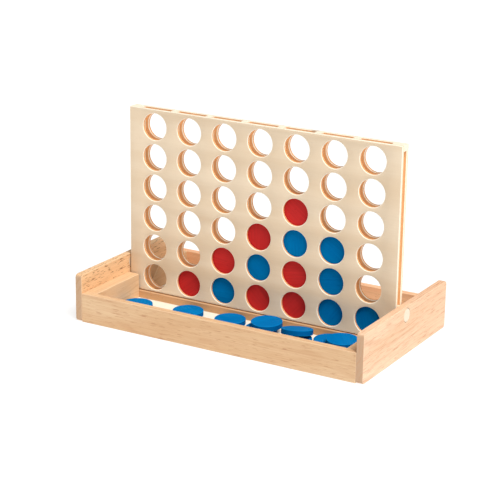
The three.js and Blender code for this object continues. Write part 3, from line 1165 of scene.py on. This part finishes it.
@dataclass
class SlottedBoard:
    """The playing board: two perforated panels, held apart by strips that divide the columns."""

    columns: int = 7
    rows: int = 6
    column_pitch: float = 38.4 * MM
    row_pitch: float = 30 * MM
    bottom_row: float = 27.5 * MM
    hole_radius: float = 13 * MM
    hole_sides: int = 64
    groove_depth: float = 4 * MM
    groove_top_stop: float = 5.8 * MM
    groove_bottom_stop: float = 2.5 * MM
    panel_easing: Easing = field(default_factory=lambda: Easing(0.6 * MM, 3))
    edge_margin: float = 1.5 * MM
    # Share of the painted slot shade on a panel's face inside the slot
    inner_shade_share: float = 0.8
    knot_place: float = 52 * MM
    knot_radius: float = 6 * MM
    strip_easing: Easing = field(default_factory=lambda: Easing(0.25 * MM, 2))

    def panels(self) -> None:
        """Makes the two panels with their grid of holes."""
        pattern = perforated_sheet()
        for node, shift in (("front_panel", (0.05, 0.31, 0.12)), ("rear_panel", (0.63, 0.14, 0.42))):
            low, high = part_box(node)
            finish = WoodFinish(
                f"{node}_plywood", "board_plywood", pale=tint(238, 218, 190), warm=tint(230, 206, 174),
                line=tint(206, 172, 132), fleck=tint(186, 150, 112), cut=tint(252, 236, 208),
                # A bright painted highlight on the rims, and a warm orange painted shade on the hole walls
                # and slot faces
                arris=tint(255, 246, 226),
                bore=tint(236, 168, 100), shift=shift, line_pitch=22 * MM, line_share=0.1, fibre_share=0.1,
                fleck_cover=0.1, fleck_share=0.15, roughness=0.5, relief=0.05,
                knot=(self.knot_place, high.y, high.z), knot_radius=self.knot_radius if high.y > 0 else 0.0,
                sheet_layers=2 / (high.y - low.y), layer_start=low.y, layer_colour=tint(226, 188, 140),
                arris_share=1.0,
            )
            raw = pattern.make({
                "Width": high.x - low.x, "Height": high.z - low.z, "Thickness": high.y - low.y,
                "Middle": (0.0, (low.z + high.z) / 2, 0.0), "Columns": self.columns, "Rows": self.rows,
                "Row Length": (self.columns - 1) * self.column_pitch,
                "Column Length": (self.rows - 1) * self.row_pitch,
                "Grid Middle": (0.0, self.bottom_row + (self.rows - 1) * self.row_pitch / 2, 0.0),
                "Back Face": (0.0, high.y, 0.0), "Hole Radius": self.hole_radius,
                "Hole Sides": self.hole_sides, "Material": finish.material(),
            })
            mesh = self._eased_panel(raw, low, high)
            mark_cut(mesh, lambda normal: 1.0 - abs(normal.y))
            self._mark_highlight_and_shade(mesh, low, high)
            dress(f"board_{node}", mesh, "board", [node], finish.slot)

    def _eased_panel(self, raw: bpy.types.Mesh, low: Vector, high: Vector) -> bpy.types.Mesh:
        """Rounds a panel's outer arrises and the rim of each hole, on both faces.

        Args:
            raw: The sharp panel, which is changed.
            low: Its lowest corner.
            high: Its highest corner.

        Returns:
            The same mesh.
        """
        width, steps = self.panel_easing.width, self.panel_easing.steps
        build = bmesh.new()
        build.from_mesh(raw)
        for step in range(1, steps + 1):
            depth = width * (1 - math.cos(math.pi / 2 * step / steps))
            for level in (low.y + depth, high.y - depth):
                everything = build.verts[:] + build.edges[:] + build.faces[:]
                bmesh.ops.bisect_plane(build, geom=everything, dist=1e-7, plane_co=(0, level, 0),
                                       plane_no=(0, 1, 0))
        for vertex in build.verts:
            depth = min(vertex.co.y - low.y, high.y - vertex.co.y)
            if depth < width:
                drop = width * (1 - math.sqrt(max(0.0, 1 - (1 - depth / width) ** 2)))
                vertex.co += self._away(vertex.co, low, high) * drop
        build.to_mesh(raw)
        build.free()
        raw.polygons.foreach_set("use_smooth", [abs(face.normal.y) < SQUARE for face in raw.polygons])
        raw.set_sharp_from_angle(angle=self.panel_easing.angle)
        return raw

    def _away(self, place: Vector, low: Vector, high: Vector) -> Vector:
        """The way from an arris into the panel's wood, in the panel's plane.

        Args:
            place: A point on the panel's outer edge or on a hole's wall.
            low: The panel's lowest corner.
            high: Its highest corner.

        Returns:
            A unit vector, or the sum of two at an outer corner.
        """
        reach = 0.01 * MM
        sides = (
            (place.x - low.x, Vector((1, 0, 0))), (high.x - place.x, Vector((-1, 0, 0))),
            (place.z - low.z, Vector((0, 0, 1))), (high.z - place.z, Vector((0, 0, -1))),
        )
        outer = [inward for gap, inward in sides if gap < reach]
        if outer:
            return sum(outer, Vector())
        half = (self.columns - 1) / 2
        column = round(place.x / self.column_pitch + half)
        row = round((place.z - self.bottom_row) / self.row_pitch)
        middle = Vector(((column - half) * self.column_pitch, place.y,
                         self.bottom_row + row * self.row_pitch))
        return (place - middle).normalized()

    def _mark_highlight_and_shade(self, mesh: bpy.types.Mesh, low: Vector, high: Vector) -> None:
        """Notes a panel's round arrises, where a highlight is painted, and its hole walls and inner face,
        where a darker orange shade is painted.

        Args:
            mesh: The panel's mesh.
            low: Its lowest corner.
            high: Its highest corner.
        """
        margin = self.edge_margin

        def inside(spot: Vector) -> bool:
            """Whether a spot is away from the panel's outer edge."""
            return low.x + margin < spot.x < high.x - margin and low.z + margin < spot.z < high.z - margin

        def slot_shade(face: bpy.types.MeshPolygon) -> float:
            """How much painted shade a face takes: a hole's wall wholly, the face in the slot in good part.
            """
            if abs(face.normal.y) < 0.05:
                return float(inside(face.center))
            return self.inner_shade_share if face.normal.y * inward > SQUARE else 0.0

        inward = -math.copysign(1.0, low.y)
        for name, share in ((EASED, lambda face: float(0.05 < abs(face.normal.y) < SQUARE)), (PAINTED_SHADE, slot_shade)):
            noted = mesh.attributes.new(name, "FLOAT", "FACE")
            noted.data.foreach_set("value", [share(face) for face in mesh.polygons])

    def strips(self) -> None:
        """Makes the six dividers and the two grooved strips at the sides."""
        finish = WoodFinish(
            "strip_wood", "strip_wood", pale=tint(244, 196, 138), warm=tint(236, 180, 118),
            line=tint(210, 152, 96),
            fleck=tint(176, 122, 76), cut=tint(248, 226, 194), arris=tint(252, 232, 200), grain=Axis.UP,
            line_pitch=2.5 * MM, line_share=0.3, fibre_share=0.35, fleck_share=0.25, fleck_cover=0.2,
            roughness=0.6,
        )
        for i in range(1, self.columns):
            node = f"divider_strip_{i}"
            self._finish(node, board_mesh(node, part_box(node)), finish)
        for node in ("edge_strip_left", "edge_strip_right"):
            self._finish(node, self._edge_blank(node), finish)

    def _edge_blank(self, node: str) -> bpy.types.Mesh:
        """An edge strip with the groove that the peg's tongue runs in, closed at both ends.

        Args:
            node: The frame's node that it stands for.

        Returns:
            The sharp mesh.
        """
        low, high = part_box(node)
        side = 1.0 if high.x > 0 else -1.0
        inner, outer = (low.x, high.x) if side > 0 else (high.x, low.x)
        groove = outer - side * self.groove_depth
        bottom, top = low.z + self.groove_bottom_stop, high.z - self.groove_top_stop
        outline = [
            (inner, low.z), (outer, low.z), (outer, bottom), (groove, bottom),
            (groove, top), (outer, top), (outer, high.z), (inner, high.z),
        ]
        return plate(node, [outline], low.y, high.y, lambda u, v, depth: (u, depth, v))

    def _finish(self, node: str, raw: bpy.types.Mesh, finish: WoodFinish) -> None:
        """Eases a strip and puts it in the board.

        Args:
            node: The frame's node that it stands for.
            raw: The sharp mesh.
            finish: Its wood.
        """
        mesh = eased_mesh(raw, self.strip_easing, finish.material())
        mark_cut(mesh, lambda normal: abs(normal.z))
        dress(f"board_{node}", mesh, "board", [node], finish.slot)

    def build(self) -> None:
        """Makes the whole board."""
        self.panels()
        self.strips()


@dataclass
class Discs:
    """The players' discs, in the board's slots and loose in the tray."""

    bodies: dict[str, list[str]]
    nodes: dict[str, bpy.types.Object]
    sides: int = 96
    radius: float = 14.8 * MM
    thickness: float = 5 * MM
    easing: Easing = field(default_factory=lambda: Easing(0.45 * MM, 3))
    turn_step: float = math.radians(137.5)
    tree_step: Point = (0.137, 0.291, 0.173)

    def finishes(self) -> dict[DiscColour, WoodFinish]:
        """The two stains.

        Returns:
            A finish for each side of the game.
        """
        return {
            DiscColour.BLUE: WoodFinish(
                "blue_stain", "blue_stained_wood", pale=tint(0, 124, 190), warm=tint(0, 111, 176),
                line=tint(0, 80, 138), fleck=tint(0, 64, 116), cut=tint(0, 88, 150), arris=tint(24, 142, 210),
                place=Place.PIECE, line_pitch=4 * MM, line_share=0.16, fibre_share=0.3, fleck_share=0.35,
                arris_share=0.4, roughness=0.5, relief=0.15, shine=0.01,
            ),
            DiscColour.RED: WoodFinish(
                "red_stain", "red_stained_wood", pale=tint(214, 48, 46), warm=tint(198, 38, 38),
                line=tint(140, 16, 22), fleck=tint(120, 12, 18), cut=tint(170, 26, 30),
                arris=tint(220, 64, 60),
                place=Place.PIECE, line_pitch=4 * MM, line_share=0.16, fibre_share=0.3, fleck_share=0.35,
                arris_share=0.5, roughness=0.5, relief=0.15, shine=0.12,
            ),
        }

    def build(self) -> None:
        """Makes every disc on its own body, each cut from its own place in the tree."""
        pattern, finishes = turned_disc(), self.finishes()
        discs = [(body, nodes[0]) for body, nodes in sorted(self.bodies.items()) if "_disc_" in body]
        for i, (body, node) in enumerate(discs):
            finish = finishes[DiscColour(node.split("_")[0])]
            middle, facing = self._seat(node)
            lean = facing.to_track_quat("Z", "Y")
            raw = pattern.make({
                "Radius": self.radius, "Thickness": self.thickness, "Sides": self.sides,
                "Lean": lean.to_euler(), "Middle": middle, "Material": finish.material(),
            })
            mesh = eased_mesh(raw, self.easing, finish.material())
            mark_cut(mesh, lambda normal, facing=facing: 1.0 - abs(normal.dot(facing)))
            self._lay_grain(mesh, middle, lean.to_matrix(), i)
            dress(f"{node}_turned", mesh, body, [node], finish.slot)

    def _seat(self, node: str) -> tuple[Vector, Vector]:
        """Where a disc lies, read from its flat faces in the frame.

        Args:
            node: The frame's node.

        Returns:
            Its middle and the way it faces.
        """
        mesh = self.nodes[node].data
        places = {tuple(vertex.co) for vertex in mesh.vertices}
        middle = sum((Vector(place) for place in places), Vector()) / len(places)
        widths: dict[tuple[float, ...], float] = {}
        for face in mesh.polygons:
            facing = tuple(round(part, 3) for part in face.normal)
            widths[facing] = widths.get(facing, 0.0) + face.area
        flat = max(widths, key=lambda facing: (round(widths[facing], 7), facing))
        return middle, Vector(flat).normalized()

    def _lay_grain(self, mesh: bpy.types.Mesh, middle: Vector, turn: Matrix, index: int) -> None:
        """Gives a disc its own piece of the tree's grain.

        Args:
            mesh: The disc's mesh.
            middle: Its middle.
            turn: The turn from a flat disc to this one.
            index: Its number, which sets its cut.
        """
        spin = Matrix.Rotation(self.turn_step * index, 3, "Z") @ turn.transposed()
        step = Vector(self.tree_step) * (index + 1)
        places = [spin @ (vertex.co - middle) + step for vertex in mesh.vertices]
        noted = mesh.attributes.new(GRAIN, "FLOAT_VECTOR", "POINT")
        noted.data.foreach_set("vector", [part for place in places for part in place])


@dataclass
class Studio:
    """The floor, the lights and the camera."""

    lens: float = 119.52
    sensor: float = 36.0
    stand: Point = (0.7330, -1.2887, 0.5421)
    azimuth: float = math.radians(30.04)
    elevation: float = math.radians(17.55)
    roll: float = math.radians(0.86)
    floor_half: float = 6.0
    sky: float = 0.4
    sun_power: float = 3.1
    sun_spread: float = math.radians(30)
    sun_place: Point = (0.515, -0.28, 0.81)

    def floor(self) -> None:
        """Lays the paper floor."""
        reach = self.floor_half
        mesh = bpy.data.meshes.new("studio_floor")
        outline = [(-reach, -reach, 0), (reach, -reach, 0), (reach, reach, 0), (-reach, reach, 0)]
        mesh.from_pydata(outline, [], [(0, 1, 2, 3)])
        mesh.materials.append(StudioFloorFinish().material())
        link(bpy.data.objects.new("studio_floor", mesh))

    def lights(self) -> None:
        """Sets one broad soft light, above and to the right of the front, under an even sky."""
        world = bpy.data.worlds.new("studio_sky")
        world.use_nodes = True
        back = world.node_tree.nodes["Background"]
        back.inputs["Color"].default_value = (1.0, 1.0, 1.0, 1.0)
        back.inputs["Strength"].default_value = self.sky
        bpy.context.scene.world = world
        lamp = bpy.data.lights.new("key_light", "SUN")
        lamp.energy = self.sun_power
        lamp.angle = self.sun_spread
        holder = link(bpy.data.objects.new("key_light", lamp))
        holder.location = self.sun_place
        holder.rotation_euler = (-Vector(self.sun_place)).to_track_quat("-Z", "Y").to_euler()

    def camera(self) -> None:
        """Sets up the camera, level but for a slight roll."""
        data = bpy.data.cameras.new("studio_camera")
        data.lens = self.lens
        data.sensor_width = self.sensor
        data.clip_start, data.clip_end = 0.05, 30.0
        camera = link(bpy.data.objects.new("studio_camera", data))
        a, e = self.azimuth, self.elevation
        ahead = Vector((-math.sin(a) * math.cos(e), math.cos(a) * math.cos(e), -math.sin(e)))
        right = Vector((math.cos(a), math.sin(a), 0.0))
        above = right.cross(ahead)
        tilted_right = right * math.cos(self.roll) + above * math.sin(self.roll)
        tilted_up = above * math.cos(self.roll) - right * math.sin(self.roll)
        turn = Matrix((tilted_right, tilted_up, -ahead)).transposed().to_4x4()
        camera.matrix_world = Matrix.Translation(self.stand) @ turn
        bpy.context.scene.camera = camera

    def build(self) -> None:
        """Makes the studio."""
        self.floor()
        self.lights()
        self.camera()
        bpy.context.scene.view_settings.view_transform = "Standard"


def main() -> None:
    """Builds the game and the studio round it, and logs each piece's face count."""
    logging.basicConfig(level=logging.INFO, format="%(message)s")
    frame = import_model()
    Tray().build()
    Pegs().build()
    SlottedBoard().build()
    Discs(frame["record"]["behaviour"]["bodies"], frame["nodes"]).build()
    Studio().build()


if __name__ == "__main__":
    main()
